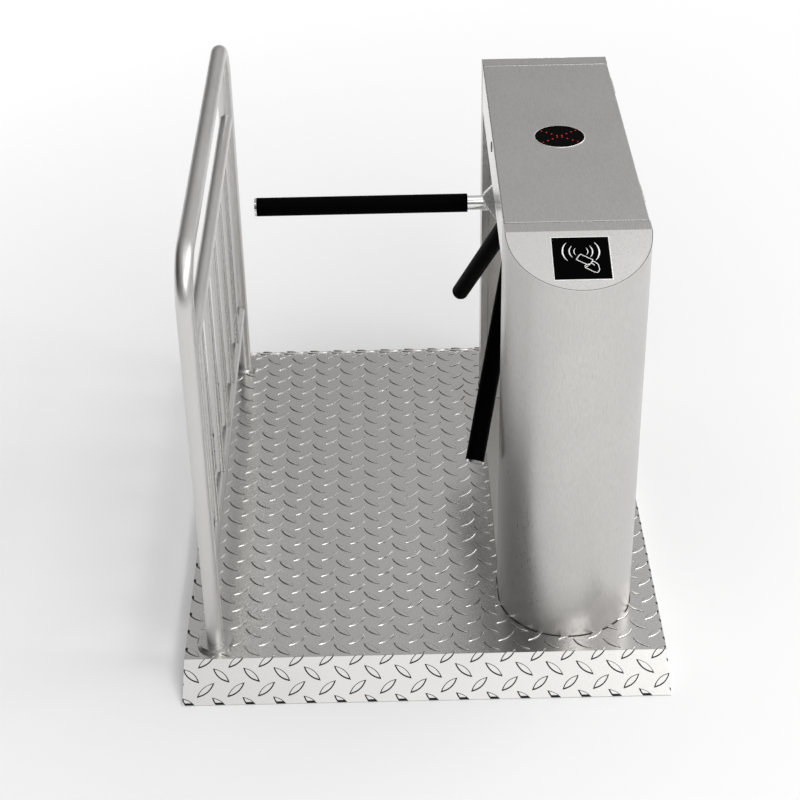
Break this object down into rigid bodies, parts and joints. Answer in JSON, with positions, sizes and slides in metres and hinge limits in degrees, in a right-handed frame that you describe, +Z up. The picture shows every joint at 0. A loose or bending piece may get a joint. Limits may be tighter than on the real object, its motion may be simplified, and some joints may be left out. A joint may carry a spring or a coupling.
{
  "type": "portable tripod turnstile",
  "caption": "Portable tripod turnstile: a treaded deck with ramps carries a guard rail and a bridge-shaped cabinet with a tilted three-arm tripod, a lifting lid and card readers.",
  "frame": {"origin": "on the floor under the middle of the deck, at the centre of the overall box's underside", "axes": "+Y is the walking direction, the longest side; +X points from the guard rail to the cabinet; +Z is up"},
  "size_m": [1.068, 1.46, 1.023],
  "materials": {
    "tread_plate": "five-lozenge tread plate, mill finish",
    "stainless_sheet": "fine brushed stainless sheet",
    "stainless_tube": "satin polished stainless tube",
    "frame_steel": "grey primer",
    "foot_rubber": "matt rubber",
    "sleeve_rubber": "smooth black sleeve",
    "arm_chrome": "bright chrome",
    "bolt_steel": "plain stainless",
    "window_black": "dark tinted acrylic",
    "inner_plastic": "moulded housing",
    "lens_black": "dark lens over red dots",
    "circuit_board": "coated board",
    "mech_steel": "zinc plated steel",
    "mech_cast": "machined casting",
    "bearing_steel": "ground steel",
    "index_brass": "turned disc",
    "coil_paint": "lacquered coil case"
  },
  "bodies": {
    "frame": {"tread_deck": "tread_plate", "front_ramp": "tread_plate", "back_ramp": "tread_plate", "subframe_rails": "frame_steel", "subframe_crossbars": "frame_steel", "rubber_feet": "foot_rubber", "cabinet_base_plate": "stainless_sheet", "anchor_bolts": "bolt_steel", "rail_hoop": "stainless_tube", "rail_mid_bar": "stainless_tube", "rail_bottom_bar": "stainless_tube", "rail_uprights": "stainless_tube", "rail_flanges": "stainless_tube", "rail_flange_bolts": "bolt_steel", "rail_flange_covers": "stainless_tube", "front_leg_shell": "stainless_sheet", "back_leg_shell": "stainless_sheet", "front_leg_cover": "stainless_sheet", "back_leg_cover": "stainless_sheet", "beam_left_side": "stainless_sheet", "beam_right_side": "stainless_sheet", "beam_bottom_plate": "stainless_sheet", "front_top_cap": "stainless_sheet", "back_top_cap": "stainless_sheet", "lid_hinge_fixed": "bolt_steel", "lid_hinge_pins": "bolt_steel", "lock_barrel": "arm_chrome", "reader_windows": "window_black", "reader_modules": "inner_plastic", "mechanism_base": "mech_steel", "mechanism_cheeks": "mech_steel", "axle_housing": "mech_cast", "shaft_bearings": "bearing_steel", "centring_arm": "mech_steel", "centring_spring": "bearing_steel", "solenoid_plate": "mech_steel", "solenoids": "coil_paint", "control_box": "inner_plastic", "power_supply": "mech_steel", "cable_gland": "inner_plastic"},
    "tripod": {"tripod_shaft": "bearing_steel", "index_disc": "index_brass", "centring_cam": "bearing_steel", "hub_body": "arm_chrome", "hub_nose_cap": "arm_chrome", "arm_tubes": "arm_chrome", "arm_sleeves": "sleeve_rubber", "arm_end_caps": "arm_chrome", "arm_grub_screws": "bolt_steel"},
    "lid": {"lid": "stainless_sheet", "lid_gasket": "foot_rubber", "lid_hinge_moving": "bolt_steel", "lid_catch": "bolt_steel", "indicator_bezel": "arm_chrome", "indicator_lens": "lens_black", "indicator_board": "circuit_board"},
    "lock_plug": {"lock_plug": "bearing_steel"},
    "front_plunger": {"front_lock_plunger": "bearing_steel"},
    "back_plunger": {"back_lock_plunger": "bearing_steel"},
    "roller": {"centring_roller": "inner_plastic"}
  },
  "joints": [
    {"name": "tripod_spin", "type": "hinge", "parent": "frame", "child": "tripod", "pos_m": [0.2425, 0.011, 0.8335], "axis": [-0.6852, 0, -0.7284], "continuous": true},
    {"name": "lid_open", "type": "hinge", "parent": "frame", "child": "lid", "pos_m": [0.4735, 0.011, 0.988], "axis": [0, 1, 0], "range_deg": [0, 90]},
    {"name": "lock_turn", "type": "hinge", "parent": "frame", "child": "lock_plug", "pos_m": [0.1735, 0.0224, 0.966], "axis": [1, 0, 0], "range_deg": [0, 90]},
    {"name": "front_plunger_slide", "type": "slide", "parent": "frame", "child": "front_plunger", "axis": [-0.6852, 0, -0.7284], "range_m": [0, 0.01], "stiffness_N_per_m": 100, "springref_m": -0.004},
    {"name": "back_plunger_slide", "type": "slide", "parent": "frame", "child": "back_plunger", "axis": [-0.6852, 0, -0.7284], "range_m": [0, 0.01], "stiffness_N_per_m": 100, "springref_m": -0.004},
    {"name": "roller_spin", "type": "hinge", "parent": "frame", "child": "roller", "pos_m": [0.29238, 0.011, 0.95133], "axis": [-0.6852, 0, -0.7284], "continuous": true}
  ]
}
